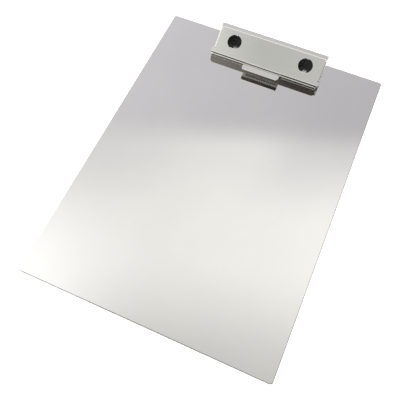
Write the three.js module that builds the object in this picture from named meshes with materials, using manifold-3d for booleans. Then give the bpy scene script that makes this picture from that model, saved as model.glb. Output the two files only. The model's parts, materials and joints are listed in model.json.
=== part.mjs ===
// Stainless steel A4 clipboard with a wide, spring loaded lever clip.
//
// Frame, in millimetres: the board lies on its back. +X is to the right, +Y runs up the board to the
// clip, +Z points out of the writing face. The origin is the centre of the board's underside.
//
// Pieces: the board, a clip base riveted to it, a lever pressed from one sheet, the hinge pin, two
// torsion springs on the pin, and two rivets.

import * as THREE from 'three';
import { mergeVertices } from 'three/addons/utils/BufferGeometryUtils.js';
import Module from 'manifold-3d';

const wasm = await Module();
wasm.setup();

// ---- driving dimensions -------------------------------------------------------------------------

const degrees = Math.PI / 180;

const board = { width: 226, length: 310, thickness: 1.0, cornerRadius: 2.5 };

// The clip's pieces are laid out round their own middle, which stands this far right of the board's.
const clip = { middleX: 0.8 };

const pin = { y: 129.5, z: 8.0, radius: 1.5 };

// The lever is one sheet. Its plate rises to the rear at this angle when the jaw is closed, and its
// top face passes this far above the pin's centre.
const lever = {
  width: 111.2,
  sheet: 1.0,
  plateAngle: 28 * degrees,
  plateTop: 5.33,
  pinHoleRadius: 1.6,
};

// Along the plate, s counts from the pin towards the rear.
const nose = { s: -8.0, bendRadius: 0.8 };
const crease = { s: 17.2, bendRadius: 3.2 };
const pressFlange = { edgeY: 148.15, edgeZ: 20.71, cornerRadius: 1.0 };
const eye = { x: 37.3, s: 6.65, radius: 7.15 };

// The jaw is a narrow V fold. Its round bottom presses on the board. The jaw's left end stands out
// past the plate, and its right end stops short of it.
const fold = { y: 121.6, bendRadius: 0.7, boardGap: 0.15, leftOverhang: 1.7, rightSetback: 1.1 };
const lip = { y: 117.9, z: 7.68, cornerRadius: 3.0 };

// The finger tab stands forward from the middle of the lip.
const tab = {
  width: 37.8,
  middleX: -1.5,
  frontY: 109.85,
  z: 9.3,
  creaseY: 113.8,
  creaseRadius: 1.2,
  shoulderY: 117.35,
  shoulderZ: 6.4,
  shoulderRadius: 1.0,
  cornerRadius: 2.0,
};

// Side flanges turned down from both ends of the plate carry the pin.
const sideFlange = { frontS: -4.0, rearS: 16.6, depthBelowPin: 4.0, rearCornerRadius: 3.0 };

const base = {
  sheet: 0.8,
  boardGap: 0.05,
  frontY: 124.2,
  wallBendY: 140.4,
  wallBendRadius: 1.6,
  wallTopY: 147.4,
  wallTopZ: 9.2,
  wallHalfWidth: 52.3,
  halfWidth: 54.25,
  earRadius: 3.6,
  cornerRadius: 1.5,
  pinHoleRadius: 1.58,
};

const rivet = {
  x: 37.3,
  y: 137.5,
  shankRadius: 1.6,
  holeRadius: 1.8,
  headRadius: 2.6,
  headHeight: 1.1,
  dimpleRadius: 0.9,
  tailRadius: 2.7,
  clearance: 0.05,
  sinkRadius: 3.0,
  sinkDepth: 0.75,
};

const spring = {
  firstX: -25.2,
  spacing: 44.0,
  wireRadius: 0.5,
  coilRadius: 2.5,
  fullTurns: 4,
  length: 6.2,
  baseLegY: 137.0,
  leverLegS: 13.5,
  legGap: 0.12,
  wireSides: 8,
  steps: 112,
};

const arcStep = 15 * degrees;
const roundSides = 40;

// ---- outlines -----------------------------------------------------------------------------------

// A point of the plate's own frame: s along the plate, h square to it, both from the pin's centre.
function onPlate(s, h) {
  const cos = Math.cos(lever.plateAngle);
  const sin = Math.sin(lever.plateAngle);
  return { y: pin.y + s * cos - h * sin, z: pin.z + s * sin + h * cos };
}

function arcPoints(centre, radius, from, to) {
  const count = Math.max(1, Math.ceil(Math.abs(to - from) / arcStep));
  return Array.from({ length: count + 1 }, (_, i) => {
    const angle = from + ((to - from) * i) / count;
    return { y: centre.y + radius * Math.cos(angle), z: centre.z + radius * Math.sin(angle) };
  });
}

// The direction of the straight run between two bends. A bend's radius is positive where the path
// turns left around its centre, negative where it turns right, and zero at a free end.
function runAngle(a, b) {
  const span = Math.hypot(b.y - a.y, b.z - a.z);
  return Math.atan2(b.z - a.z, b.y - a.y) - Math.asin((b.radius - a.radius) / span);
}

// The middle line of a bent sheet, from its stops: free ends and bends, joined by straight runs.
function sheetPath(stops) {
  const path = [];
  stops.forEach((stop, i) => {
    if (stop.radius === 0) {
      path.push({ y: stop.y, z: stop.z });
      return;
    }
    const side = Math.sign(stop.radius);
    const incoming = runAngle(stops[i - 1], stop);
    let turn = runAngle(stop, stops[i + 1]) - incoming;
    if (side * turn < 0) turn += side * 2 * Math.PI;
    const start = incoming - (side * Math.PI) / 2;
    path.push(...arcPoints(stop, Math.abs(stop.radius), start, start + turn));
  });
  return path;
}

// The closed outline of a sheet of this thickness along a path, with mitred corners.
function sheetOutline(path, thickness) {
  const direction = (a, b) => Math.atan2(b.z - a.z, b.y - a.y);
  const offset = (distance) =>
    path.map((point, i) => {
      const before = direction(path[Math.max(i - 1, 0)], path[Math.max(i, 1)]);
      const last = path.length - 1;
      const after = direction(path[Math.min(i, last - 1)], path[Math.min(i + 1, last)]);
      const turn = Math.atan2(Math.sin(after - before), Math.cos(after - before));
      const normal = before + turn / 2 + Math.PI / 2;
      const reach = distance / Math.cos(turn / 2);
      return { y: point.y + reach * Math.cos(normal), z: point.z + reach * Math.sin(normal) };
    });
  return [...offset(-thickness / 2), ...offset(thickness / 2).reverse()];
}

function roundedRectangle(x0, y0, x1, y1, radii) {
  const [r00, r10, r11, r01] = radii;
  const shape = new THREE.Shape();
  const corner = (x, y, r, start) => {
    if (r > 0) shape.absarc(x, y, r, start, start + Math.PI / 2, false);
    else shape.lineTo(x, y);
  };
  shape.moveTo(x0 + r00, y0);
  corner(x1 - r10, y0 + r10, r10, -Math.PI / 2);
  corner(x1 - r11, y1 - r11, r11, 0);
  corner(x0 + r01, y1 - r01, r01, Math.PI / 2);
  corner(x0 + r00, y0 + r00, r00, Math.PI);
  return shape;
}

// ---- solids -------------------------------------------------------------------------------------

function solid(geometry) {
  const bare = geometry.clone();
  bare.deleteAttribute('normal');
  bare.deleteAttribute('uv');
  const merged = mergeVertices(bare, 1e-5);
  return new wasm.Manifold(
    new wasm.Mesh({
      numProp: 3,
      vertProperties: new Float32Array(merged.attributes.position.array),
      triVerts: new Uint32Array(merged.index.array),
    }),
  );
}

function geometryOf(manifold) {
  const mesh = manifold.getMesh();
  const geometry = new THREE.BufferGeometry();
  geometry.setAttribute('position', new THREE.BufferAttribute(mesh.vertProperties, 3));
  geometry.setIndex(new THREE.BufferAttribute(mesh.triVerts, 1));
  geometry.computeVertexNormals();
  return geometry;
}

// A prism along X from an outline of Y, Z points.
function prismAlongX(outline, x0, x1) {
  const shape = new THREE.Shape(outline.map((point) => new THREE.Vector2(point.y, point.z)));
  const geometry = new THREE.ExtrudeGeometry(shape, { depth: x1 - x0, bevelEnabled: false });
  const axes = new THREE.Matrix4().makeBasis(
    new THREE.Vector3(0, 1, 0),
    new THREE.Vector3(0, 0, 1),
    new THREE.Vector3(1, 0, 0),
  );
  return solid(geometry.applyMatrix4(axes).translate(x0, 0, 0));
}

// A prism along Z from a shape drawn in X, Y.
function prismAlongZ(shape, z0, z1, curveSegments = 6) {
  const options = { depth: z1 - z0, bevelEnabled: false, curveSegments };
  return solid(new THREE.ExtrudeGeometry(shape, options).translate(0, 0, z0));
}

function cylinder(radius, height, placement) {
  return solid(new THREE.CylinderGeometry(radius, radius, height, roundSides).applyMatrix4(placement));
}

// A cylinder along X, centred on the pin's axis.
function cylinderOnPin(radius, x0, x1) {
  const placement = new THREE.Matrix4()
    .makeTranslation((x0 + x1) / 2, pin.y, pin.z)
    .multiply(new THREE.Matrix4().makeRotationZ(Math.PI / 2));
  return cylinder(radius, x1 - x0, placement);
}

// A cylinder square to the board.
function uprightCylinder(radius, x, y, z0, z1) {
  const placement = new THREE.Matrix4()
    .makeTranslation(x, y, (z0 + z1) / 2)
    .multiply(new THREE.Matrix4().makeRotationX(Math.PI / 2));
  return cylinder(radius, z1 - z0, placement);
}

const bothSides = (make) => [-1, 1].map(make);

// ---- the board ----------------------------------------------------------------------------------

function makeBoard() {
  const halfX = board.width / 2;
  const halfY = board.length / 2;
  const corners = Array(4).fill(board.cornerRadius);
  const outline = roundedRectangle(-halfX, -halfY, halfX, halfY, corners);
  let sheet = prismAlongZ(outline, 0, board.thickness);
  for (const side of [-1, 1]) {
    const x = clip.middleX + side * rivet.x;
    const hole = uprightCylinder(rivet.holeRadius, x, rivet.y, -1, board.thickness + 1);
    const cone = new THREE.CylinderGeometry(rivet.holeRadius, rivet.sinkRadius, rivet.sinkDepth, roundSides);
    cone.rotateX(Math.PI / 2).translate(x, rivet.y, rivet.sinkDepth / 2);
    sheet = sheet.subtract(hole).subtract(solid(cone));
  }
  return geometryOf(sheet);
}

// ---- the clip's base ----------------------------------------------------------------------------

const footMiddleZ = board.thickness + base.boardGap + base.sheet / 2;
const footTopZ = footMiddleZ + base.sheet / 2;

function makeBaseEar(side) {
  const r = base.earRadius;
  const outline = [
    { y: pin.y - r, z: footMiddleZ },
    ...arcPoints(pin, r, 0, Math.PI).reverse(),
    { y: pin.y + r, z: footMiddleZ },
  ].reverse();
  const inner = side * (base.halfWidth - base.sheet);
  const outer = side * base.halfWidth;
  return prismAlongX(outline, Math.min(inner, outer), Math.max(inner, outer));
}

function makeClipBase() {
  const path = sheetPath([
    { y: base.frontY, z: footMiddleZ, radius: 0 },
    { y: base.wallBendY, z: footMiddleZ + base.wallBendRadius, radius: base.wallBendRadius },
    { y: base.wallTopY, z: base.wallTopZ, radius: 0 },
  ]);
  const w = base.wallHalfWidth;
  const plan = roundedRectangle(-w, base.frontY - 1, w, base.wallTopY + 0.2, [0, 0, 3, 3]);
  let sheet = prismAlongX(sheetOutline(path, base.sheet), -w, w);
  sheet = sheet.intersect(prismAlongZ(plan, 0, base.wallTopZ + 2));
  const r = base.cornerRadius;
  const rearY = pin.y + base.earRadius + 2;
  const endPlan = roundedRectangle(-base.halfWidth, base.frontY, base.halfWidth, rearY, [r, r, r, r]);
  sheet = sheet.add(prismAlongZ(endPlan, footTopZ - base.sheet, footTopZ));
  for (const ear of bothSides(makeBaseEar)) sheet = sheet.add(ear);
  sheet = sheet.subtract(cylinderOnPin(base.pinHoleRadius, -base.halfWidth - 1, base.halfWidth + 1));
  for (const side of [-1, 1]) {
    sheet = sheet.subtract(uprightCylinder(rivet.holeRadius, side * rivet.x, rivet.y, 0, footTopZ + 1));
  }
  return geometryOf(sheet);
}

// ---- the lever ----------------------------------------------------------------------------------

const foldBend = {
  y: fold.y,
  z: board.thickness + fold.boardGap + fold.bendRadius + lever.sheet / 2,
  radius: fold.bendRadius,
};

function plateStops() {
  const middle = lever.plateTop - lever.sheet / 2;
  return [
    foldBend,
    { ...onPlate(nose.s, middle - nose.bendRadius), radius: -nose.bendRadius },
    { ...onPlate(crease.s, middle - crease.bendRadius), radius: -crease.bendRadius },
    { y: pressFlange.edgeY, z: pressFlange.edgeZ, radius: 0 },
  ];
}

// The sheet over its whole width: lip, fold, plate and press flange. The jaw is offset to the left, so
// on the left it is trimmed behind its fold, and on the right under the plate.
function makeLeverSheet() {
  const path = sheetPath([{ y: lip.y, z: lip.z, radius: 0 }, ...plateStops()]);
  const x = lever.width / 2;
  const r = pressFlange.cornerRadius;
  const left = -x - fold.leftOverhang;
  const jawRearY = fold.y + 1.5;
  const platePlan = roundedRectangle(-x, fold.y - 10, x, pressFlange.edgeY, [0, 0, r, r]);
  const jawPlan = roundedRectangle(left, fold.y - 10, x, jawRearY, [0, 0, 0, 0]);
  const plans = prismAlongZ(platePlan, -1, 40).add(prismAlongZ(jawPlan, -1, 40));
  const underside = lever.plateTop - lever.sheet;
  const noseFrontS = nose.s - nose.bendRadius - lever.sheet / 2;
  const jawRegion = [
    onPlate(noseFrontS - 10, underside - 15),
    onPlate(5, underside - 15),
    onPlate(5, underside),
    onPlate(noseFrontS - 0.1, underside),
    onPlate(noseFrontS - 0.1, underside + 5),
    onPlate(noseFrontS - 10, underside + 5),
  ];
  const sheet = prismAlongX(sheetOutline(path, lever.sheet), left, x).intersect(plans);
  return sheet.subtract(prismAlongX(jawRegion, x - fold.rightSetback, x + 1));
}

// What the lip's two rounded ends leave out, cut square to the fold's front wall.
function makeLipCornerCut(side) {
  const slope = runAngle({ ...lip, radius: 0 }, foldBend);
  const r = lip.cornerRadius;
  const past = 1;
  const outside = new THREE.Shape();
  outside.moveTo(past, past);
  outside.lineTo(-r, past);
  outside.lineTo(-r, 0);
  outside.absarc(-r, -r, r, Math.PI / 2, 0, true);
  outside.lineTo(past, -r);
  const depth = lever.sheet + 1;
  const options = { depth, bevelEnabled: false, curveSegments: 6 };
  const geometry = new THREE.ExtrudeGeometry(outside, options);
  const end = lever.width / 2 + (side < 0 ? fold.leftOverhang : -fold.rightSetback);
  geometry.translate(end, 0, -depth / 2);
  if (side < 0) geometry.rotateY(Math.PI);
  const up = new THREE.Vector3(0, -Math.cos(slope), -Math.sin(slope));
  const across = new THREE.Vector3(1, 0, 0);
  const axes = new THREE.Matrix4().makeBasis(across, up, across.clone().cross(up));
  return solid(geometry.applyMatrix4(axes).translate(0, lip.y, lip.z));
}

// The middle of the sheet again, but carried on forward as the finger tab.
function makeTab() {
  const path = sheetPath([
    { y: tab.frontY, z: tab.z, radius: 0 },
    { y: tab.creaseY, z: tab.z - tab.creaseRadius, radius: -tab.creaseRadius },
    { y: tab.shoulderY, z: tab.shoulderZ, radius: -tab.shoulderRadius },
    ...plateStops(),
  ]);
  const x0 = tab.middleX - tab.width / 2;
  const x1 = tab.middleX + tab.width / 2;
  const r = tab.cornerRadius;
  const plan = roundedRectangle(x0, tab.frontY, x1, pin.y, [r, r, 0, 0]);
  return prismAlongX(sheetOutline(path, lever.sheet), x0, x1).intersect(prismAlongZ(plan, -1, 20));
}

function makeSideFlange(side) {
  const { frontS, rearS, depthBelowPin, rearCornerRadius } = sideFlange;
  const middle = lever.plateTop - lever.sheet / 2;
  const plateArc = (s, h, radius, from, to) =>
    arcPoints(onPlate(s, h), radius, from + lever.plateAngle, to + lever.plateAngle);
  const outline = [
    onPlate(frontS, middle),
    ...plateArc(0, 0, depthBelowPin, Math.PI, 1.5 * Math.PI),
    ...plateArc(
      rearS - rearCornerRadius,
      rearCornerRadius - depthBelowPin,
      rearCornerRadius,
      -Math.PI / 2,
      0,
    ),
    onPlate(rearS, middle),
  ];
  const outer = (side * lever.width) / 2;
  const inner = outer - side * lever.sheet;
  return prismAlongX(outline, Math.min(inner, outer), Math.max(inner, outer));
}

function makeEyeCut(side) {
  const centre = onPlate(eye.s, lever.plateTop);
  const placement = new THREE.Matrix4()
    .makeTranslation(side * eye.x, centre.y, centre.z)
    .multiply(new THREE.Matrix4().makeRotationX(Math.PI / 2 + lever.plateAngle));
  return cylinder(eye.radius, 4, placement);
}

function makeClipLever() {
  let sheet = makeLeverSheet().add(makeTab());
  for (const flange of bothSides(makeSideFlange)) sheet = sheet.add(flange);
  for (const cut of bothSides(makeLipCornerCut)) sheet = sheet.subtract(cut);
  for (const cut of bothSides(makeEyeCut)) sheet = sheet.subtract(cut);
  return geometryOf(sheet.subtract(cylinderOnPin(lever.pinHoleRadius, -lever.width, lever.width)));
}

// ---- pin, rivets and springs --------------------------------------------------------------------

function makeHingePin() {
  const end = lever.width / 2;
  const chamfer = 0.3;
  const profile = [
    new THREE.Vector2(0, -end),
    new THREE.Vector2(pin.radius - chamfer, -end),
    new THREE.Vector2(pin.radius, -end + chamfer),
    new THREE.Vector2(pin.radius, end - chamfer),
    new THREE.Vector2(pin.radius - chamfer, end),
    new THREE.Vector2(0, end),
  ];
  return new THREE.LatheGeometry(profile, roundSides).rotateZ(-Math.PI / 2).translate(0, pin.y, pin.z);
}

// A domed head with a dimple on the base's foot, and a tail set flush into the board's underside.
function makeRivet(side) {
  const { shankRadius, headRadius, headHeight, dimpleRadius, tailRadius, clearance } = rivet;
  const headBottom = footTopZ + clearance;
  const rim = 0.3;
  const dome = Array.from({ length: 5 }, (_, i) => {
    const swing = (i / 5) * (Math.PI / 2);
    const reach = headRadius - dimpleRadius;
    const rise = headHeight - rim;
    const z = headBottom + rim + rise * Math.sin(swing);
    return new THREE.Vector2(dimpleRadius + reach * Math.cos(swing), z);
  });
  const profile = [
    new THREE.Vector2(0, clearance),
    new THREE.Vector2(tailRadius, clearance),
    new THREE.Vector2(shankRadius, rivet.sinkDepth),
    new THREE.Vector2(shankRadius, headBottom),
    new THREE.Vector2(headRadius, headBottom),
    ...dome,
    new THREE.Vector2(dimpleRadius, headBottom + headHeight),
    new THREE.Vector2(dimpleRadius * 0.7, headBottom + headHeight * 0.4),
    new THREE.Vector2(0, headBottom + headHeight * 0.4),
  ];
  const geometry = new THREE.LatheGeometry(profile, roundSides).rotateX(Math.PI / 2);
  return geometry.translate(side * rivet.x, rivet.y, 0);
}

// The wire's middle line: a leg along the foot, the coil round the pin, and a leg under the plate.
class TorsionSpringLine extends THREE.Curve {
  constructor(firstX) {
    super();
    const coil = { y: pin.y, z: pin.z, radius: -spring.coilRadius };
    const reach = spring.wireRadius + spring.legGap;
    this.firstX = firstX;
    this.start = { y: spring.baseLegY, z: footTopZ + reach, radius: 0 };
    this.end = { ...onPlate(spring.leverLegS, lever.plateTop - lever.sheet - reach), radius: 0 };
    this.enter = runAngle(this.start, coil) + Math.PI / 2;
    this.leave = runAngle(coil, this.end) + Math.PI / 2;
    let turn = this.leave - this.enter;
    while (turn > 0) turn -= 2 * Math.PI;
    this.turn = turn - 2 * Math.PI * spring.fullTurns;
    this.legs = [this.start, this.end].map((tip) =>
      Math.sqrt((tip.y - pin.y) ** 2 + (tip.z - pin.z) ** 2 - spring.coilRadius ** 2),
    );
    this.coilLength = Math.abs(this.turn) * spring.coilRadius;
    this.total = this.legs[0] + this.coilLength + this.legs[1];
  }

  onCoil(share, target) {
    const angle = this.enter + this.turn * share;
    const y = pin.y + spring.coilRadius * Math.cos(angle);
    const z = pin.z + spring.coilRadius * Math.sin(angle);
    return target.set(this.firstX + spring.length * share, y, z);
  }

  getPoint(t, target = new THREE.Vector3()) {
    const travelled = t * this.total;
    const [first, second] = this.legs;
    if (travelled < first) {
      const tip = new THREE.Vector3(this.firstX, this.start.y, this.start.z);
      return target.copy(tip).lerp(this.onCoil(0, new THREE.Vector3()), travelled / first);
    }
    if (travelled <= first + this.coilLength) {
      return this.onCoil((travelled - first) / this.coilLength, target);
    }
    const tip = new THREE.Vector3(this.firstX + spring.length, this.end.y, this.end.z);
    return this.onCoil(1, target).lerp(tip, (travelled - first - this.coilLength) / second);
  }
}

function makeSpring(index) {
  const section = new THREE.Shape();
  section.absarc(0, 0, spring.wireRadius, 0, 2 * Math.PI, false);
  const round = new THREE.Shape(section.getSpacedPoints(spring.wireSides).slice(0, -1));
  return new THREE.ExtrudeGeometry(round, {
    steps: spring.steps,
    extrudePath: new TorsionSpringLine(spring.firstX + index * spring.spacing),
    bevelEnabled: false,
  });
}

// ---- materials and assembly ---------------------------------------------------------------------

const finishes = {
  board: { color: 0xc6c4c4, roughness: 0.2, metalness: 1 },
  lever: { color: 0xc4c3bb, roughness: 0.3, metalness: 1 },
  base: { color: 0x262626, roughness: 0.45, metalness: 0 },
  pin: { color: 0xaeaca8, roughness: 0.3, metalness: 1 },
  spring: { color: 0x9b9994, roughness: 0.35, metalness: 1 },
  rivet: { color: 0xd0cec9, roughness: 0.25, metalness: 1 },
};

const clipboard = new THREE.Group();

function place(name, geometry, finish) {
  if (name !== 'board') geometry.translate(clip.middleX, 0, 0);
  const mesh = new THREE.Mesh(geometry, new THREE.MeshStandardMaterial(finishes[finish]));
  mesh.name = name;
  clipboard.add(mesh);
}

place('board', makeBoard(), 'board');
place('clip_base', makeClipBase(), 'base');
place('clip_lever', makeClipLever(), 'lever');
place('hinge_pin', makeHingePin(), 'pin');
['left', 'right'].forEach((name, index) => {
  place(`torsion_spring_${name}`, makeSpring(index), 'spring');
  place(`rivet_${name}`, makeRivet(2 * index - 1), 'rivet');
});

export default clipboard;
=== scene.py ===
import json
import math

import bmesh
import bpy
from mathutils import Matrix, Vector


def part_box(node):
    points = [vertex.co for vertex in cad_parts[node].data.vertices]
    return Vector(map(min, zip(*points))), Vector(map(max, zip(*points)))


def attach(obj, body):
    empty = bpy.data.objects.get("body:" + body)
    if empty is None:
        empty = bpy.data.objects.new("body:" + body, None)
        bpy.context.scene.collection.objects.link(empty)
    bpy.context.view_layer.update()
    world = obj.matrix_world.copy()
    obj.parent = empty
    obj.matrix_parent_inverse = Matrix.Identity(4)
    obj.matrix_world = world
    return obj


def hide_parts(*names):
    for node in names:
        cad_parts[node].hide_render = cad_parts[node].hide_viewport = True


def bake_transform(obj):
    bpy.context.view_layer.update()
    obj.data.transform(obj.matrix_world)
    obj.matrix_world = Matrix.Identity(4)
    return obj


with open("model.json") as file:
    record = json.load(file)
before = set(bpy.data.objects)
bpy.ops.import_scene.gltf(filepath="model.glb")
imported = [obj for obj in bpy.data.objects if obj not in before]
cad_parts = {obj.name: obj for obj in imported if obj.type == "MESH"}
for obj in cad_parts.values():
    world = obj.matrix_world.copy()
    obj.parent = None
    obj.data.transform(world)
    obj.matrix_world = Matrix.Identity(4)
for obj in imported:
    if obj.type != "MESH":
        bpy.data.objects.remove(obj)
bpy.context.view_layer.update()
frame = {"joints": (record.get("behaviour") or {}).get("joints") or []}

# Looks of a stainless steel clipboard: board, clip base, sprung lever, hinge pin, two torsion springs
# and two rivets. Lengths are in millimetres in the part's frame until finish_piece scales a mesh to
# metres. The clip's pieces are made round their own middle, which stands CLIP_X right of the board's.

# ---- dimensions from the frame ------------------------------------------------------------------

MM = 0.001


def in_mm(length):
    """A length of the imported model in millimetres, without its rounding noise."""
    return round(length / MM, 3)


# The pin lies in the clip's middle, on the lever's hinge, and is as long as the lever is wide.
board_low, board_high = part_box("board")
pin_low, pin_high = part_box("hinge_pin")
BOARD_X, BOARD_Y, BOARD_T = (in_mm(size) for size in board_high - board_low)
PIN_Y, PIN_Z = (in_mm(place) for place in frame["joints"][0]["pos_m"][1:])
PIN_R = in_mm((pin_high.z - pin_low.z) / 2)
LEVER_X = in_mm(pin_high.x - pin_low.x)
CLIP_X = in_mm((pin_low.x + pin_high.x) / 2)

# ---- dimensions inside the pieces, the same as the CAD part's -----------------------------------

# the board, and the fine rounding of its edges that only this model has, wider along the near edge
BOARD_CORNER = 2.5
BOARD_ARRIS, BOARD_ROLL = 0.45, 0.9

# the lever's plate: S counts along it from the pin to the rear
LEVER_T = 1.0
PLATE_ANGLE = math.radians(28)
PLATE_TOP = 5.33
PIN_HOLE_R = 1.6
NOSE_S, NOSE_R = -8.0, 0.8
CREASE_S, CREASE_R = 17.2, 3.2
FLANGE_Y, FLANGE_Z, FLANGE_CORNER = 148.15, 20.71, 1.0
EYE_X, EYE_S, EYE_R = 37.3, 6.65, 7.15

# the jaw's fold and lip, and the finger tab in front of them, which starts TAB_ROOT behind the fold
FOLD_Y, FOLD_R, FOLD_GAP = 121.6, 0.7, 0.15
JAW_LEFT, JAW_RIGHT, JAW_REAR = LEVER_X / 2 + 1.7, LEVER_X / 2 - 1.1, 1.5
LIP_Y, LIP_Z, LIP_CORNER = 117.9, 7.68, 3.0
TAB_X, TAB_MIDDLE, TAB_FRONT, TAB_Z, TAB_CORNER = 37.8, -1.5, 109.85, 9.3, 2.0
TAB_CREASE_Y, TAB_CREASE_R = 113.8, 1.2
TAB_SHOULDER_Y, TAB_SHOULDER_Z, TAB_SHOULDER_R, TAB_ROOT = 117.35, 6.4, 1.0, 3.0

# the side flanges that turn down to the pin, each from SIDE_ROOT inside its bend
SIDE_FRONT, SIDE_REAR, SIDE_DEPTH, SIDE_CORNER = -4.0, 16.6, 4.0, 3.0
SIDE_BEND_R, SIDE_ROOT, RELIEF = 1.4, 1.5, 0.5

# the base: foot, rear wall and ears, with the foot at full width as far as EAR_FOOT behind the ears
BASE_T, BASE_GAP, BASE_FRONT = 0.8, 0.05, 124.2
WALL_BEND_Y, WALL_BEND_R, WALL_TOP_Y, WALL_TOP_Z = 140.4, 1.6, 147.4, 9.2
WALL_X, WALL_CORNER, WALL_TRIM = 52.3, 3.0, 0.2
BASE_X, BASE_CORNER, EAR_R, EAR_FOOT, EAR_HOLE_R = 54.25, 1.5, 3.6, 2.0, 1.58

# the rivets, and the countersunk holes for their tails
RIVET_X, RIVET_Y, RIVET_SHANK, RIVET_HOLE = 37.3, 137.5, 1.6, 1.8
RIVET_HEAD, RIVET_RIM, RIVET_RISE, RIVET_DIMPLE, RIVET_TAIL = 2.6, 0.3, 1.1, 0.9, 2.7
RIVET_CLEAR, SINK_R, SINK_DEPTH = 0.05, 3.0, 0.75

# the springs
SPRING_X, SPRING_SPACING, WIRE_R, COIL_R = -25.2, 44.0, 0.5, 2.5
SPRING_TURNS, SPRING_LENGTH, BASE_LEG_Y, LEVER_LEG_S, LEG_GAP = 4, 6.2, 137.0, 13.5, 0.12

# angle steps of bends and small rounds, eye holes, pin and coils
ARC_STEP, EYE_STEP, PIN_STEP, COIL_STEP = (math.radians(turn) for turn in (5, 4, 6, 7.5))

# how far a cutting solid reaches past what it cuts, and heights above the tab and the whole clip
PAST, ABOVE_TAB, ABOVE_CLIP = 1.0, 20.0, 40.0

# heights above the board's back, and of the plate's middle above the pin's centre
FOOT_MIDDLE = BOARD_T + BASE_GAP + BASE_T / 2
FOOT_TOP = FOOT_MIDDLE + BASE_T / 2
PLATE_MIDDLE = PLATE_TOP - LEVER_T / 2


# ---- outlines, as lists of points ---------------------------------------------------------------

def on_plate(s, h):
    """A point s along the sloping plate and h square to it, both from the pin's centre."""
    c, n = math.cos(PLATE_ANGLE), math.sin(PLATE_ANGLE)
    return PIN_Y + s * c - h * n, PIN_Z + s * n + h * c


def arc(centre, radius, start, end, step=ARC_STEP):
    """Points round a centre, at least one for each step of angle."""
    count = max(1, math.ceil(abs(end - start) / step))
    turns = [start + (end - start) * i / count for i in range(count + 1)]
    return [(centre[0] + radius * math.cos(a), centre[1] + radius * math.sin(a)) for a in turns]


def circle(centre, radius, step=ARC_STEP):
    """A closed ring of points, the first of them not repeated."""
    return arc(centre, radius, 0, 2 * math.pi, step)[:-1]


def full_turn(sides):
    """Even angles round a circle."""
    return [2 * math.pi * i / sides for i in range(sides)]


def run_angle(a, b):
    """Direction of the straight run between two bends, each (y, z, signed radius)."""
    span = math.hypot(b[0] - a[0], b[1] - a[1])
    return math.atan2(b[1] - a[1], b[0] - a[0]) - math.asin((b[2] - a[2]) / span)


def sheet_path(stops):
    """Middle line of a bent sheet, through free ends (radius 0) and bends."""
    path = []
    for i, (y, z, radius) in enumerate(stops):
        if radius == 0:
            path.append((y, z))
            continue
        side = math.copysign(1, radius)
        incoming = run_angle(stops[i - 1], stops[i])
        turn = run_angle(stops[i], stops[i + 1]) - incoming
        if side * turn < 0:
            turn += side * 2 * math.pi
        start = incoming - side * math.pi / 2
        path += arc((y, z), abs(radius), start, start + turn)
    return path


def sheet_outline(path, thickness):
    """Closed outline of a sheet along a path, with mitred corners."""

    def heading(a, b):
        return math.atan2(b[1] - a[1], b[0] - a[0])

    def offset(distance):
        points = []
        last = len(path) - 1
        for i, (y, z) in enumerate(path):
            before = heading(path[max(i - 1, 0)], path[max(i, 1)])
            after = heading(path[min(i, last - 1)], path[min(i + 1, last)])
            turn = math.atan2(math.sin(after - before), math.cos(after - before))
            normal = before + turn / 2 + math.pi / 2
            reach = distance / math.cos(turn / 2)
            points.append((y + reach * math.cos(normal), z + reach * math.sin(normal)))
        return points

    return offset(-thickness / 2) + offset(thickness / 2)[::-1]


def rounded_rectangle(x0, y0, x1, y1, radii):
    """Corners in the order x0 y0, x1 y0, x1 y1, x0 y1."""
    corners = [(x0, y0, 1, 1), (x1, y0, -1, 1), (x1, y1, -1, -1), (x0, y1, 1, -1)]
    points = []
    for i, ((x, y, a, b), r) in enumerate(zip(corners, radii)):
        start = math.pi + i * math.pi / 2
        centre = (x + a * r, y + b * r)
        points += arc(centre, r, start, start + math.pi / 2) if r > 0 else [(x, y)]
    return points


# ---- solids -------------------------------------------------------------------------------------

def new_solid(vertices, faces):
    """An object with its faces turned outwards."""
    mesh = bpy.data.meshes.new("solid")
    mesh.from_pydata([tuple(v) for v in vertices], [], faces)
    bm = bmesh.new()
    bm.from_mesh(mesh)
    bmesh.ops.recalc_face_normals(bm, faces=bm.faces)
    if bm.calc_volume(signed=True) < 0:
        bmesh.ops.reverse_faces(bm, faces=bm.faces)
    bm.to_mesh(mesh)
    bm.free()
    piece = bpy.data.objects.new("solid", mesh)
    bpy.context.scene.collection.objects.link(piece)
    return piece


def loft(rings):
    """A closed solid through rings of points, with flat ends."""
    n = len(rings[0])
    vertices = [p for ring in rings for p in ring]
    faces = [tuple(range(n)), tuple((len(rings) - 1) * n + i for i in range(n))]
    for j in range(len(rings) - 1):
        for i in range(n):
            k = (i + 1) % n
            faces.append((j * n + i, j * n + k, (j + 1) * n + k, (j + 1) * n + i))
    return new_solid(vertices, faces)


def prism_x(outline, x0, x1):
    return loft([[(x, y, z) for y, z in outline] for x in (x0, x1)])


def prism_z(outline, z0, z1):
    return loft([[(x, y, z) for x, y in outline] for z in (z0, z1)])


def cylinder_on_pin(radius, x0, x1):
    return prism_x(circle((PIN_Y, PIN_Z), radius), x0, x1)


def upright_cylinder(radius, x, y, z0, z1):
    return prism_z(circle((x, y), radius), z0, z1)


def lathe_z(profile, x, y, sides):
    """A solid turned round an upright axis at x, y, from (radius, z), with flat ends."""
    turns = full_turn(sides)
    return loft([[(x + r * math.cos(a), y + r * math.sin(a), z) for a in turns] for r, z in profile])


def apply_modifiers(piece):
    """Makes what the modifiers give the piece's own mesh."""
    bpy.context.view_layer.update()
    graph = bpy.context.evaluated_depsgraph_get()
    result = bpy.data.meshes.new_from_object(piece.evaluated_get(graph))
    piece.modifiers.clear()
    piece.data = result


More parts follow.
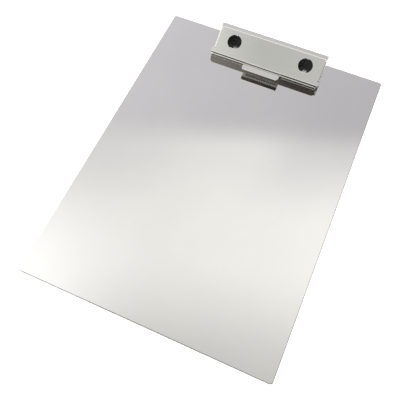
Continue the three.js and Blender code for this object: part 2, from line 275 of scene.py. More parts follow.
def combine(piece, other, operation):
    """Adds, cuts or keeps what the two have in common, and uses up the second."""
    tool = piece.modifiers.new("combine", "BOOLEAN")
    tool.object = other
    tool.operation = operation
    tool.solver = "EXACT"
    apply_modifiers(piece)
    bpy.data.objects.remove(other)
    return piece


def ease_edges(piece, width):
    """Cleans the faces, then rounds every sharp edge a little, as on a tumbled pressing."""
    close, sliver = 0.003, 0.001
    flat_turn, sharp_turn = math.radians(0.2), math.radians(35)
    bm = bmesh.new()
    bm.from_mesh(piece.data)
    bmesh.ops.remove_doubles(bm, verts=bm.verts, dist=close)
    bmesh.ops.dissolve_limit(bm, angle_limit=flat_turn, verts=bm.verts, edges=bm.edges)
    bmesh.ops.dissolve_degenerate(bm, dist=close, edges=bm.edges)
    sharp = [e for e in bm.edges if len(e.link_faces) == 2 and e.calc_face_angle() > sharp_turn]
    bmesh.ops.bevel(
        bm,
        geom=sharp,
        offset=width,
        offset_type="OFFSET",
        segments=3,
        profile=0.5,
        affect="EDGES",
        clamp_overlap=True,
    )
    bmesh.ops.dissolve_degenerate(bm, dist=sliver, edges=bm.edges)
    bm.to_mesh(piece.data)
    bm.free()


def finish_piece(piece, name, material, body=None, sharp=34):
    """Scales to metres, sets the shading and the finish, and stands in for the CAD node.

    Edges that turn by more than the sharp angle, in degrees, stay crisp."""
    piece.name = name + "_fine"
    mesh = piece.data
    mesh.name = piece.name
    shift = 0 if name == "board" else CLIP_X
    mesh.transform(Matrix.Scale(MM, 4) @ Matrix.Translation((shift, 0, 0)))
    mesh.materials.clear()
    mesh.materials.append(material)
    for polygon in mesh.polygons:
        polygon.material_index = 0
        polygon.use_smooth = True
    mesh.set_sharp_from_angle(angle=math.radians(sharp))
    weigh = piece.modifiers.new("weigh", "WEIGHTED_NORMAL")
    weigh.keep_sharp = True
    weigh.weight = 100
    apply_modifiers(piece)
    if body:
        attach(piece, body)
    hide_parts(name)
    return piece


# ---- node helpers -------------------------------------------------------------------------------

class Nodes:
    """Short calls for the nodes of one material or world. A value may be a number or a socket."""

    def __init__(self, tree):
        self.tree = tree

    def put(self, socket, value):
        """Links a socket or sets a value. None leaves the socket alone."""
        if isinstance(value, bpy.types.NodeSocket):
            self.tree.links.new(value, socket)
        elif value is not None:
            socket.default_value = value

    def math(self, operation, *values):
        node = self.tree.nodes.new("ShaderNodeMath")
        node.operation = operation
        for socket, value in zip(node.inputs, values):
            self.put(socket, value)
        return node.outputs[0]

    def add(self, a, b):
        return self.math("ADD", a, b)

    def minus(self, a, b):
        return self.math("SUBTRACT", a, b)

    def times(self, a, b):
        return self.math("MULTIPLY", a, b)

    def over(self, a, b):
        return self.math("DIVIDE", a, b)

    def span(self, x, low, high, out_low=0.0, out_high=1.0):
        """Goes smoothly from out_low to out_high as x goes from low to high."""
        node = self.tree.nodes.new("ShaderNodeMapRange")
        node.interpolation_type = "SMOOTHSTEP"
        names = ("Value", "From Min", "From Max", "To Min", "To Max")
        for name, value in zip(names, (x, low, high, out_low, out_high)):
            self.put(node.inputs[name], value)
        return node.outputs["Result"]

    def mix(self, share, a, b):
        """a + share (b - a), for numbers."""
        return self.add(a, self.times(share, self.minus(b, a)))

    def mix_color(self, share, a, b):
        """The same for colours, each a socket or red, green and blue."""
        node = self.tree.nodes.new("ShaderNodeMix")
        node.data_type = "RGBA"
        color_a, color_b, color_out = node.inputs[6], node.inputs[7], node.outputs[2]
        self.put(node.inputs["Factor"], share)
        for socket, color in ((color_a, a), (color_b, b)):
            self.put(socket, color if isinstance(color, bpy.types.NodeSocket) else (*color, 1.0))
        return color_out

    def scale_color(self, color, strength):
        node = self.tree.nodes.new("ShaderNodeVectorMath")
        node.operation = "SCALE"
        self.put(node.inputs[0], color)
        self.put(node.inputs["Scale"], strength)
        return node.outputs[0]

    def stretched(self, scale):
        """Object coordinates, with this many features to the metre along each axis."""
        place = self.tree.nodes.new("ShaderNodeTexCoord")
        node = self.tree.nodes.new("ShaderNodeMapping")
        self.tree.links.new(place.outputs["Object"], node.inputs["Vector"])
        node.inputs["Scale"].default_value = scale
        return node.outputs[0]

    def noise(self, scale, detail=2.0, roughness=0.5, distortion=0.0):
        """Soft noise with this many features to the metre along each axis."""
        node = self.tree.nodes.new("ShaderNodeTexNoise")
        self.put(node.inputs["Vector"], self.stretched(scale))
        node.inputs["Scale"].default_value = 1.0
        node.inputs["Detail"].default_value = detail
        node.inputs["Roughness"].default_value = roughness
        node.inputs["Distortion"].default_value = distortion
        return node.outputs[0]

    def bump(self, height, strength, distance, normal=None):
        """Relief from a height, laid over the relief in normal."""
        node = self.tree.nodes.new("ShaderNodeBump")
        node.inputs["Strength"].default_value = strength
        node.inputs["Distance"].default_value = distance
        self.put(node.inputs["Height"], height)
        self.put(node.inputs["Normal"], normal)
        return node.outputs[0]


def new_material(name):
    """A material, the calls for its nodes, and its shader."""
    material = bpy.data.materials.new(name)
    material.use_nodes = True
    return material, Nodes(material.node_tree), material.node_tree.nodes["Principled BSDF"]


# ---- finishes -----------------------------------------------------------------------------------

# features to the metre along each axis, and depths of relief in metres
PATCHES, PRINTS, WAVES = (14, 14, 14), (75, 75, 75), (9, 5, 9)
COAT_PATCHES, COAT_GRAIN, PAPER_PATCHES = (160, 160, 160), (2600, 2600, 2600), (3, 3, 3)
BRUSH_RELIEF, GRAIN_RELIEF, WAVE_RELIEF = 0.00002, 0.00003, 0.001

# the base's tones, a satin black coat darker than any real black, which also paints the shade inside the
# clip, and its roughness
COAT_AND_SHADE_DARK, COAT_AND_SHADE_LIGHT, COAT_ROUGH = (0.004, 0.004, 0.004), (0.009, 0.0085, 0.008), (0.42, 0.58)
PAPER_DARK, PAPER_LIGHT = (0.90, 0.90, 0.90), (0.93, 0.93, 0.93)

# Noise keeps mostly between 0.3 and 0.7, so the spans below stretch about that range.


def steel(name, light, dark, rough, brush, brush_depth, wave=0.0, smudge=0.02, line_share=0.7):
    """Stainless steel: brush lines, soft smudges in tone and gloss, and a slow waviness of the sheet.

    It moves between the tones light and dark, and between the two values of rough. brush is the
    number of brush lines to the metre along each axis and brush_depth their relief. line_share is
    how much of the change in tone the lines have, and smudge how much they change the roughness."""
    material, nodes, shader = new_material(name)
    lines = nodes.noise(brush, detail=3.0, roughness=0.6)
    patches = nodes.noise(PATCHES, detail=4.0, roughness=0.55, distortion=0.4)
    prints = nodes.noise(PRINTS, detail=3.0, roughness=0.6)
    tone = nodes.add(nodes.times(lines, line_share), nodes.times(patches, 1 - line_share))
    nodes.put(shader.inputs["Base Color"], nodes.mix_color(nodes.span(tone, 0.35, 0.65), dark, light))
    gloss = nodes.add(nodes.times(patches, 0.6), nodes.times(prints, 0.4))
    gloss = nodes.add(nodes.span(gloss, 0.35, 0.7, *rough), nodes.times(nodes.minus(lines, 0.5), smudge))
    nodes.put(shader.inputs["Roughness"], gloss)
    shader.inputs["Metallic"].default_value = 1.0
    normal = nodes.bump(lines, brush_depth, BRUSH_RELIEF)
    if wave > 0:
        normal = nodes.bump(nodes.noise(WAVES, detail=1.0), wave, WAVE_RELIEF, normal)
    nodes.put(shader.inputs["Normal"], normal)
    return material


def black_coat_and_shade(name):
    """A satin black coating with a fine grain, made darker than any real black so that it also paints
    the shade inside the clip, seen through the eye holes.
    """
    material, nodes, shader = new_material(name)
    patches = nodes.noise(COAT_PATCHES, detail=3.0)
    grain = nodes.noise(COAT_GRAIN)
    color = nodes.mix_color(nodes.span(patches, 0.35, 0.7), COAT_AND_SHADE_DARK, COAT_AND_SHADE_LIGHT)
    nodes.put(shader.inputs["Base Color"], color)
    nodes.put(shader.inputs["Roughness"], nodes.span(patches, 0.3, 0.7, *COAT_ROUGH))
    nodes.put(shader.inputs["Normal"], nodes.bump(grain, 0.25, GRAIN_RELIEF))
    return material


def paper_floor(name):
    """White paper, a little uneven in tone."""
    material, nodes, shader = new_material(name)
    color = nodes.mix_color(nodes.noise(PAPER_PATCHES), PAPER_DARK, PAPER_LIGHT)
    nodes.put(shader.inputs["Base Color"], color)
    shader.inputs["Roughness"].default_value = 0.9
    shader.inputs["Specular IOR Level"].default_value = 0.1
    return material


BOARD_STEEL = steel(
    "board_steel", light=(0.635, 0.631, 0.623), dark=(0.617, 0.613, 0.609), rough=(0.045, 0.085),
    brush=(1400, 14, 1400), brush_depth=0.02, wave=0.03, smudge=0.01, line_share=0.2,
)
# the board's edges: a rougher sheared finish, with a tone far darker than the sheet, which is painted
# shade for the dark line along the edges
BOARD_EDGE_AND_SHADE = steel(
    "board_edge_and_shade", light=(0.19, 0.187, 0.18), dark=(0.12, 0.118, 0.114), rough=(0.2, 0.3),
    brush=(60, 60, 2500), brush_depth=0.3, smudge=0.1,
)
LEVER_STEEL = steel(
    "lever_steel", light=(0.678, 0.678, 0.657), dark=(0.645, 0.645, 0.624), rough=(0.06, 0.09),
    brush=(25, 1500, 1500), brush_depth=0.02,
)
PIN_STEEL = steel(
    "pin_steel", light=(0.72, 0.715, 0.70), dark=(0.62, 0.615, 0.60), rough=(0.2, 0.3),
    brush=(60, 1500, 1500), brush_depth=0.15,
)
SPRING_STEEL = steel(
    "spring_steel", light=(0.62, 0.615, 0.60), dark=(0.48, 0.475, 0.46), rough=(0.22, 0.34),
    brush=(1200, 1200, 1200), brush_depth=0.15,
)
RIVET_STEEL = steel(
    "rivet_steel", light=(0.46, 0.455, 0.44), dark=(0.36, 0.355, 0.345), rough=(0.15, 0.24),
    brush=(900, 900, 900), brush_depth=0.12,
)
# the base's near-black is partly painted shade, the shade inside the clip under the lever
BASE_COAT_AND_SHADE = black_coat_and_shade("base_coat_and_shade")


# ---- board --------------------------------------------------------------------------------------

EDGE_STEPS, HOLE_SIDES = 6, 48

# how far the countersinks' cutter runs out of the board's back, and into the holes' walls
SINK_PAST, SINK_LAP = 0.2, 0.01

# The edge faces, which get the dark edge finish with its painted shade, are those whose normal leans out
# this far, in the outermost part of the sheet.
EDGE_NORMAL_Z, EDGE_SHARE = 0.94, 0.98


def board_sheet():
    """The sheet with its edges rounded, from the underside up."""
    half_x, half_y = BOARD_X / 2, BOARD_Y / 2
    quarter = [math.radians(90) * i / EDGE_STEPS for i in range(EDGE_STEPS + 1)]
    levels = [(1 - math.sin(a), BOARD_ARRIS * (1 - math.cos(a))) for a in quarter]
    levels += [(1 - math.cos(a), BOARD_T - BOARD_ARRIS * (1 - math.sin(a))) for a in quarter]
    rings = []
    for share, z in levels:
        inset = BOARD_ARRIS * share
        x, near, rear = half_x - inset, half_y - BOARD_ROLL * share, half_y - inset
        plan = rounded_rectangle(-x, -near, x, rear, [BOARD_CORNER - inset] * 4)
        rings.append([(px, py, z) for px, py in plan])
    return loft(rings)


def make_board():
    """The sheet with its countersunk rivet holes, and a rougher, much darker finish on its edges: the
    roughness is a sheared edge's, the darkness is painted shade for the dark line along them.
    """
    sheet = board_sheet()
    slope = (SINK_R - RIVET_HOLE) / SINK_DEPTH
    sink = [
        (SINK_R + slope * SINK_PAST, -SINK_PAST),
        (RIVET_HOLE - SINK_LAP, SINK_DEPTH + SINK_LAP / slope),
    ]
    for side in (-1, 1):
        x = CLIP_X + side * RIVET_X
        combine(sheet, upright_cylinder(RIVET_HOLE, x, RIVET_Y, -PAST, BOARD_T + PAST), "DIFFERENCE")
        combine(sheet, lathe_z(sink, x, RIVET_Y, HOLE_SIDES), "DIFFERENCE")
    piece = finish_piece(sheet, "board", BOARD_STEEL, "board")
    # every edge face gets the dark edge finish, which paints shade along the board's edges
    piece.data.materials.append(BOARD_EDGE_AND_SHADE)
    for polygon in piece.data.polygons:
        share_x = abs(polygon.center.x) / (BOARD_X / 2 * MM)
        share_y = abs(polygon.center.y) / (BOARD_Y / 2 * MM)
        if abs(polygon.normal.z) < EDGE_NORMAL_Z and max(share_x, share_y) > EDGE_SHARE:
            polygon.material_index = 1


# ---- lever --------------------------------------------------------------------------------------

# the trim of the whole sheet starts this far in front of the fold
TRIM_FRONT = 10.0

# the cut at the jaw's right end, along the plate and above or below the plate's underside
JAW_CUT_FRONT, JAW_CUT_REAR, JAW_CUT_DOWN, JAW_CUT_UP = -18, 5, 15, 5
NOSE_CLEAR = 0.1

# the cut for the side bends: how far past the bend, and its floor above the pin's centre
RELIEF_LAP, RELIEF_FLOOR = 0.8, 2

LEVER_EASE = 0.14


def fold_bend():
    """The jaw's round bottom, as a bend of the sheet's middle line."""
    return FOLD_Y, BOARD_T + FOLD_GAP + FOLD_R + LEVER_T / 2, FOLD_R


def plate_stops():
    """The fold, the plate's two bends and the free end of the press flange."""
    return [
        fold_bend(),
        (*on_plate(NOSE_S, PLATE_MIDDLE - NOSE_R), -NOSE_R),
        (*on_plate(CREASE_S, PLATE_MIDDLE - CREASE_R), -CREASE_R),
        (FLANGE_Y, FLANGE_Z, 0),
    ]


def lever_sheet():
    """Lip, jaw, plate and press flange. The jaw stands out at its left end and in at its right."""
    outline = sheet_outline(sheet_path([(LIP_Y, LIP_Z, 0), *plate_stops()]), LEVER_T)
    x = LEVER_X / 2
    sheet = prism_x(outline, -JAW_LEFT, x)
    r = FLANGE_CORNER
    left, front, jaw_rear = -JAW_LEFT - PAST, FOLD_Y - TRIM_FRONT, FOLD_Y + JAW_REAR
    plan = [(left, front), (x, front)]
    plan += arc((x - r, FLANGE_Y - r), r, 0, math.pi / 2)
    plan += arc((-x + r, FLANGE_Y - r), r, math.pi / 2, math.pi)
    plan += [(-x, jaw_rear), (left, jaw_rear)]
    combine(sheet, prism_z(plan, -PAST, ABOVE_CLIP), "INTERSECT")
    return combine(sheet, jaw_end_cut(), "DIFFERENCE")


def jaw_end_cut():
    """What the jaw's right end leaves out, in front of the plate and under it."""
    underside = PLATE_TOP - LEVER_T
    nose_front = NOSE_S - NOSE_R - LEVER_T / 2 - NOSE_CLEAR
    low, high = underside - JAW_CUT_DOWN, underside + JAW_CUT_UP
    region = [(JAW_CUT_FRONT, low), (JAW_CUT_REAR, low), (JAW_CUT_REAR, underside)]
    region += [(nose_front, underside), (nose_front, high), (JAW_CUT_FRONT, high)]
    return prism_x([on_plate(s, h) for s, h in region], JAW_RIGHT, LEVER_X / 2 + PAST)


def lever_tab():
    """The finger tab as a strip of its own, which runs on through the fold."""
    stops = [
        (TAB_FRONT, TAB_Z, 0),
        (TAB_CREASE_Y, TAB_Z - TAB_CREASE_R, -TAB_CREASE_R),
        (TAB_SHOULDER_Y, TAB_SHOULDER_Z, -TAB_SHOULDER_R),
        *plate_stops(),
    ]
    x0, x1 = TAB_MIDDLE - TAB_X / 2, TAB_MIDDLE + TAB_X / 2
    sheet = prism_x(sheet_outline(sheet_path(stops), LEVER_T), x0, x1)
    r = TAB_CORNER
    plan = rounded_rectangle(x0, TAB_FRONT, x1, FOLD_Y + TAB_ROOT, [r, r, 0, 0])
    return combine(sheet, prism_z(plan, -PAST, ABOVE_TAB), "INTERSECT")


def side_bend(side):
    """The strip that turns down from the plate's end into the flange that carries the pin."""
    x, r = LEVER_X / 2, SIDE_BEND_R
    root, low = x - r - SIDE_ROOT, -SIDE_DEPTH - PAST
    outer = arc((x - r, PLATE_TOP - r), r, math.pi / 2, 0)
    inner = arc((x - r, PLATE_TOP - r), r - LEVER_T, 0, math.pi / 2)
    section = [(root, PLATE_TOP), *outer, (x, low), (x - LEVER_T, low), *inner]
    section += [(root, PLATE_TOP - LEVER_T)]
    ends = (SIDE_FRONT - 2 * PAST, SIDE_REAR)
    strip = loft([[(side * px, *on_plate(s, h)) for px, h in section] for s in ends])
    top = PLATE_TOP + PAST
    profile = [(0, top), (SIDE_FRONT, top)]
    profile += arc((0, 0), SIDE_DEPTH, math.pi, 1.5 * math.pi)
    profile += arc((SIDE_REAR - SIDE_CORNER, SIDE_CORNER - SIDE_DEPTH), SIDE_CORNER, -math.pi / 2, 0)
    profile += [(SIDE_REAR, top)]
    trim = prism_x([on_plate(s, h) for s, h in profile], -x - PAST, x + PAST)
    return combine(strip, trim, "INTERSECT")


def relief_cut(side):
    """The plate's end, cut away to make room for the side bend and a narrow gap before and behind."""
    x0, x1 = sorted((side * (LEVER_X / 2 - SIDE_BEND_R - RELIEF_LAP), side * (LEVER_X / 2 + PAST)))
    s0, s1 = SIDE_FRONT - RELIEF, SIDE_REAR + RELIEF
    low, high = RELIEF_FLOOR, PLATE_TOP + PAST
    corners = ((s0, low), (s1, low), (s1, high), (s0, high))
    return prism_x([on_plate(s, h) for s, h in corners], x0, x1)


def lip_corner_cut(side):
    """What the lip's rounded end leaves out, square to the fold's front wall."""
    slope = run_angle((LIP_Y, LIP_Z, 0), fold_bend())
    r = LIP_CORNER
    outline = [(PAST, PAST), (-r, PAST), *arc((-r, -r), r, math.pi / 2, 0), (PAST, -r)]
    end = JAW_LEFT if side < 0 else JAW_RIGHT
    up = Vector((0, -math.cos(slope), -math.sin(slope)))
    out = Vector((1, 0, 0)).cross(up)
    rings = []
    for depth in (-PAST, PAST):
        points = [(Vector((side * (end + px), LIP_Y, LIP_Z)), py) for px, py in outline]
        rings.append([foot + up * py + out * depth for foot, py in points])
    return loft(rings)


def eye_cut(side):
    """A round hole square to the plate."""
    c, n = math.cos(PLATE_ANGLE), math.sin(PLATE_ANGLE)
    rings = []
    for h in (PLATE_TOP - 2 * PAST, PLATE_TOP + 2 * PAST):
        y, z = on_plate(EYE_S, h)
        edge = circle((0, 0), EYE_R, EYE_STEP)
        rings.append([(side * EYE_X + a, y + b * c, z + b * n) for a, b in edge])
    return loft(rings)


def make_lever():
    sheet = lever_sheet()
    combine(sheet, lever_tab(), "UNION")
    for side in (-1, 1):
        combine(sheet, relief_cut(side), "DIFFERENCE")
        combine(sheet, side_bend(side), "UNION")
        combine(sheet, lip_corner_cut(side), "DIFFERENCE")
        combine(sheet, eye_cut(side), "DIFFERENCE")
    combine(sheet, cylinder_on_pin(PIN_HOLE_R, -LEVER_X, LEVER_X), "DIFFERENCE")
    ease_edges(sheet, LEVER_EASE)
    finish_piece(sheet, "clip_lever", LEVER_STEEL, "lever")


# ---- base ---------------------------------------------------------------------------------------

BASE_EASE = 0.1


def base_ear(side):
    """An upright ear with a round top about the pin."""
    rear, front = PIN_Y + EAR_R, PIN_Y - EAR_R
    outline = [(front, FOOT_MIDDLE), *arc((PIN_Y, PIN_Z), EAR_R, math.pi, 0), (rear, FOOT_MIDDLE)]
    x0, x1 = sorted((side * (BASE_X - BASE_T), side * BASE_X))
    return prism_x(outline, x0, x1)


def make_base():
    """Foot and rear wall from one bent sheet, wider at the ears, with holes for rivets and pin."""
    stops = [
        (BASE_FRONT, FOOT_MIDDLE, 0),
        (WALL_BEND_Y, FOOT_MIDDLE + WALL_BEND_R, WALL_BEND_R),
        (WALL_TOP_Y, WALL_TOP_Z, 0),
    ]
    sheet = prism_x(sheet_outline(sheet_path(stops), BASE_T), -WALL_X, WALL_X)
    corners = [0, 0, WALL_CORNER, WALL_CORNER]
    plan = rounded_rectangle(-WALL_X, BASE_FRONT - PAST, WALL_X, WALL_TOP_Y + WALL_TRIM, corners)
    combine(sheet, prism_z(plan, 0, WALL_TOP_Z + 2 * PAST), "INTERSECT")
    ends = rounded_rectangle(-BASE_X, BASE_FRONT, BASE_X, PIN_Y + EAR_R + EAR_FOOT, [BASE_CORNER] * 4)
    combine(sheet, prism_z(ends, FOOT_TOP - BASE_T, FOOT_TOP), "UNION")
    for side in (-1, 1):
        combine(sheet, base_ear(side), "UNION")
        hole = upright_cylinder(RIVET_HOLE, side * RIVET_X, RIVET_Y, 0, FOOT_TOP + PAST)
        combine(sheet, hole, "DIFFERENCE")
    combine(sheet, cylinder_on_pin(EAR_HOLE_R, -BASE_X - PAST, BASE_X + PAST), "DIFFERENCE")
    ease_edges(sheet, BASE_EASE)
    # the base's near-black coat is partly painted shade, for the shade seen through the eye holes
    finish_piece(sheet, "clip_base", BASE_COAT_AND_SHADE, "board")


# ---- pin, rivets, springs -----------------------------------------------------------------------

PIN_CHAMFER = 0.3
DOME_STEPS, RIVET_SIDES = 9, 64
LEG_POINTS, WIRE_SIDES = 10, 14

# the floor of a rivet's dimple, as shares of its rim's radius and height, and the wire's tips
DIMPLE_NARROW, DIMPLE_LOW = 0.7, 0.4
WIRE_TIP = 0.8


def make_pin():
    """A plain pin with chamfered ends, as long as the lever is wide."""
    end, tip = LEVER_X / 2, PIN_R - PIN_CHAMFER
    profile = [(tip, -end), (PIN_R, PIN_CHAMFER - end), (PIN_R, end - PIN_CHAMFER), (tip, end)]
    rings = [[(x, y, z) for y, z in circle((PIN_Y, PIN_Z), r, PIN_STEP)] for r, x in profile]
    finish_piece(loft(rings), "hinge_pin", PIN_STEEL, "board", sharp=30)


def make_rivet(side, name):
    """Flush tail, shank, and a domed head with a dimple, from the board's back up."""
    seat = FOOT_TOP + RIVET_CLEAR
    profile = [(RIVET_TAIL, RIVET_CLEAR), (RIVET_SHANK, SINK_DEPTH)]
    profile += [(RIVET_SHANK, seat), (RIVET_HEAD, seat)]
    for i in range(DOME_STEPS):
        swing = math.radians(90) * i / DOME_STEPS
        radius = RIVET_DIMPLE + (RIVET_HEAD - RIVET_DIMPLE) * math.cos(swing)
        profile.append((radius, seat + RIVET_RIM + (RIVET_RISE - RIVET_RIM) * math.sin(swing)))
    profile.append((RIVET_DIMPLE, seat + RIVET_RISE))
    profile.append((RIVET_DIMPLE * DIMPLE_NARROW, seat + RIVET_RISE * DIMPLE_LOW))
    piece = lathe_z(profile, side * RIVET_X, RIVET_Y, RIVET_SIDES)
    finish_piece(piece, name, RIVET_STEEL, "board", sharp=30)


def spring_line(first_x):
    """Leg along the foot, coil round the pin, leg under the plate, as points."""
    coil = (PIN_Y, PIN_Z, -COIL_R)
    reach = WIRE_R + LEG_GAP
    start = (BASE_LEG_Y, FOOT_TOP + reach, 0)
    end = (*on_plate(LEVER_LEG_S, PLATE_TOP - LEVER_T - reach), 0)
    enter = run_angle(start, coil) + math.pi / 2
    leave = run_angle(coil, end) + math.pi / 2
    turn = leave - enter
    while turn > 0:
        turn -= 2 * math.pi
    turn -= 2 * math.pi * SPRING_TURNS
    steps = math.ceil(abs(turn) / COIL_STEP)
    points = []
    for i in range(steps + 1):
        angle = enter + turn * i / steps
        y, z = PIN_Y + COIL_R * math.cos(angle), PIN_Z + COIL_R * math.sin(angle)
        points.append(Vector((first_x + SPRING_LENGTH * i / steps, y, z)))
    first = Vector((first_x, start[0], start[1]))
    last = Vector((first_x + SPRING_LENGTH, end[0], end[1]))
    before = [first.lerp(points[0], i / LEG_POINTS) for i in range(LEG_POINTS)]
    after = [points[-1].lerp(last, i / LEG_POINTS) for i in range(1, LEG_POINTS + 1)]
    return before + points + after


def wire(line):
    """A round wire along a line of points, a little thinner at its two tips."""
    last = len(line) - 1
    up = Vector((1, 0, 0))
    rings = []
    for i, point in enumerate(line):
        along = (line[min(i + 1, last)] - line[max(i - 1, 0)]).normalized()
        up = (up - along * up.dot(along)).normalized()
        across = along.cross(up)
        thinner = WIRE_TIP if i in (0, last) else 1.0
        spokes = [up * math.cos(a) + across * math.sin(a) for a in full_turn(WIRE_SIDES)]
        rings.append([point + spoke * WIRE_R * thinner for spoke in spokes])
    return loft(rings)


def make_spring(index, name):
    """A spring whose turns follow the board at one end of the coil and the lever at the other."""
    first_x = SPRING_X + index * SPRING_SPACING
    piece = finish_piece(wire(spring_line(first_x)), name, SPRING_STEEL, sharp=60)
    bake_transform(piece)


make_board()
make_lever()
make_base()
make_pin()
for index, side_name in enumerate(("left", "right")):
    make_rivet(2 * index - 1, f"rivet_{side_name}")
    make_spring(index, f"torsion_spring_{side_name}")


# ---- floor and camera, in metres ----------------------------------------------------------------

FLOOR_REACH, FLOOR_Z = 4.0, -0.0002

CAMERA_PLACE = Vector((0.0818906, -0.2132005, 0.4156156))
CAMERA_LOOK = Vector((-0.1789, 0.3891, -0.9036))
CAMERA_RIGHT = Vector((0.9142, 0.4052, -0.0065))
LENS_MM, SENSOR_MM = 46.4875, 36.0


def make_floor():
    mesh = bpy.data.meshes.new("floor")
    signs = ((-1, -1), (1, -1), (1, 1), (-1, 1))
    mesh.from_pydata([(a * FLOOR_REACH, b * FLOOR_REACH, FLOOR_Z) for a, b in signs], [], [(0, 1, 2, 3)])
    mesh.materials.append(paper_floor("floor_paper"))
    floor = bpy.data.objects.new("floor", mesh)
    bpy.context.scene.collection.objects.link(floor)


def make_camera():
    """Looks down from the front right, with the clip at the far end."""
    lens = bpy.data.cameras.new("camera")
    lens.sensor_width = SENSOR_MM
    lens.sensor_fit = "HORIZONTAL"
    lens.lens = LENS_MM
    camera = bpy.data.objects.new("camera", lens)
    look = CAMERA_LOOK.normalized()
    right = (CAMERA_RIGHT - look * CAMERA_RIGHT.dot(look)).normalized()
    turned = Matrix((right, right.cross(look), -look)).transposed()
    camera.matrix_world = Matrix.Translation(CAMERA_PLACE) @ turned.to_4x4()
    bpy.context.scene.collection.objects.link(camera)
    bpy.context.scene.camera = camera
    bpy.context.scene.view_settings.view_transform = "Standard"


# ---- studio -------------------------------------------------------------------------------------

# The world's light is a formula of direction. An upward direction is given by where it meets a
# ceiling one unit up: across, to the right, and ahead, to the rear. Zones near the horizon use the
# direction's own x, y and z. Each zone has a light level, and pairs say where a soft border starts
# and ends. Where four numbers stand together, the last two are the values at those two places. A
# tilt is the change in light for one unit across, within TILT_REACH.

STUDIO_STRENGTH = 1.26
LEAST_Z, LEAST_FRONT = 0.1, -0.2

# the bright sheet overhead, which glows in a patch on the left and falls off towards the front
SHEET_LIGHT, SHEET_TILT, TILT_REACH = 1.108, 0.35, (-0.6, 0.5)
GLOW_GAIN, GLOW_ACROSS, GLOW_AHEAD = 0.526, (-0.549, -0.149, 1, 0), (0.042, 0.455, 1, 0)
FALL_LOSS, FALL_SLANT = 0.478, (0.054, 0.372, 1, 0)
SHEET_TINT, GLOW_TINT = (1.0, 0.995, 0.957), (1.0, 0.997, 0.99)

# the sheet's slanting rear edge, crispest a little left of the middle, and the grey rear behind it
EDGE_SLANT, SOFT_EDGE, CRISP_EDGE = 0.36, (0.44, 0.71), (0.635, 0.73)
CRISP_LEFT, CRISP_RIGHT = (-0.4, -0.2, 0.6, 1.0), (-0.15, -0.02, 0.8, 0.36)
REAR_LIGHT, REAR_TILT, REAR_TINT = 0.607, -0.25, (1.0, 0.982, 1.012)
HORIZON_LIGHT, HORIZON_AHEAD = 0.93, (1.0, 1.8)

# a second soft light high in front, and the wall below it
FRONT_LIGHT, FRONT_AHEAD = 1.22, (-0.32, -0.7)
LOW_LIGHT, LOW_AHEAD = 0.75, (-1.05, -1.8)

# the dark part of the room, low in front between two pieces of wall
ROOM_LEFT, ROOM_RIGHT = (-0.15, 0.0), (0.42, 0.6, 1, 0)
ROOM_LIGHT, ROOM_FLOOR, ROOM_TINT = (-0.28, -0.08, 0.45, 0.09), (0.0, 0.07, 0.6, 1.0), (1.0, 0.91, 0.86)

# the dark side on the right, high up and in the rear corner, and the pale wall on the left
DARK_LIGHT, DARK_X, DARK_Z = 0.13, (0.15, 0.45), (0.4, 0.6)
CORNER_X, CORNER_Y = (0.72, 0.8), (0.15, 0.3)
LEFT_LIGHT, LEFT_X = 0.9, (-0.55, -0.9)

# the lamp over the scene, in metres and watts
LAMP_PLACE, LAMP_SIZE, LAMP_POWER = (0, 0.1, 1.8), 2.4, 58.0


def upper_light(nodes, across, ahead):
    """The sheet overhead and the rear behind its edge, as light and tint."""
    slant = nodes.minus(ahead, nodes.times(across, EDGE_SLANT))
    crisp = nodes.times(nodes.span(across, *CRISP_RIGHT), nodes.span(across, *CRISP_LEFT))
    behind = nodes.mix(crisp, nodes.span(slant, *SOFT_EDGE), nodes.span(slant, *CRISP_EDGE))
    tilt = nodes.math("MINIMUM", nodes.math("MAXIMUM", across, TILT_REACH[0]), TILT_REACH[1])
    rear = nodes.add(nodes.times(tilt, REAR_TILT), REAR_LIGHT)
    rear = nodes.mix(nodes.span(ahead, *HORIZON_AHEAD), rear, HORIZON_LIGHT)
    glow = nodes.times(nodes.span(across, *GLOW_ACROSS), nodes.span(ahead, *GLOW_AHEAD))
    fall = nodes.times(nodes.span(slant, *FALL_SLANT), nodes.minus(1.0, glow))
    sheet = nodes.add(nodes.times(tilt, SHEET_TILT), SHEET_LIGHT)
    sheet = nodes.add(sheet, nodes.times(glow, GLOW_GAIN))
    sheet = nodes.minus(sheet, nodes.times(fall, FALL_LOSS))
    tint = nodes.mix_color(behind, SHEET_TINT, REAR_TINT)
    return nodes.mix(behind, sheet, rear), nodes.mix_color(glow, tint, GLOW_TINT)


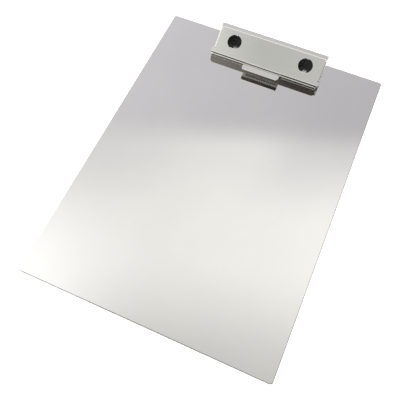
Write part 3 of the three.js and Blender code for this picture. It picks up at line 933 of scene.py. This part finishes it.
def room_share(nodes, x, y, low):
    """How far a direction is into the dark part of the room."""
    aim = nodes.over(x, nodes.math("MINIMUM", y, LEAST_FRONT))
    return nodes.times(low, nodes.times(nodes.span(aim, *ROOM_LEFT), nodes.span(aim, *ROOM_RIGHT)))


def make_world():
    """A soft studio: each line of light lays one zone over those before it."""
    world = bpy.data.worlds.new("studio")
    bpy.context.scene.world = world
    world.use_nodes = True
    nodes = Nodes(world.node_tree)
    place = world.node_tree.nodes.new("ShaderNodeTexCoord")
    split = world.node_tree.nodes.new("ShaderNodeSeparateXYZ")
    nodes.put(split.inputs[0], place.outputs["Generated"])
    x, y, z = split.outputs
    height = nodes.math("MAXIMUM", z, LEAST_Z)
    across, ahead = nodes.over(x, height), nodes.over(y, height)

    low = nodes.span(ahead, *LOW_AHEAD)
    room = room_share(nodes, x, y, low)
    room_light = nodes.times(nodes.span(x, *ROOM_LIGHT), nodes.span(z, *ROOM_FLOOR))
    side = nodes.times(nodes.span(x, *DARK_X), nodes.span(z, *DARK_Z))
    corner = nodes.times(nodes.span(x, *CORNER_X), nodes.span(y, *CORNER_Y))

    light, tint = upper_light(nodes, across, ahead)
    light = nodes.mix(nodes.span(ahead, *FRONT_AHEAD), light, FRONT_LIGHT)
    light = nodes.mix(low, light, LOW_LIGHT)
    light = nodes.mix(room, light, room_light)
    light = nodes.mix(nodes.math("MAXIMUM", side, corner), light, DARK_LIGHT)
    light = nodes.mix(nodes.span(x, *LEFT_X), light, LEFT_LIGHT)
    color = nodes.scale_color(nodes.mix_color(room, tint, ROOM_TINT), light)

    background = world.node_tree.nodes["Background"]
    nodes.put(background.inputs["Color"], color)
    background.inputs["Strength"].default_value = STUDIO_STRENGTH


def make_lamp():
    """A wide soft lamp overhead, which no polished face mirrors."""
    lamp = bpy.data.lights.new("ceiling", "AREA")
    lamp.shape = "RECTANGLE"
    lamp.size = LAMP_SIZE
    lamp.size_y = LAMP_SIZE
    lamp.energy = LAMP_POWER
    ceiling = bpy.data.objects.new("ceiling", lamp)
    ceiling.location = LAMP_PLACE
    ceiling.visible_glossy = False
    bpy.context.scene.collection.objects.link(ceiling)


make_floor()
make_world()
make_lamp()
make_camera()
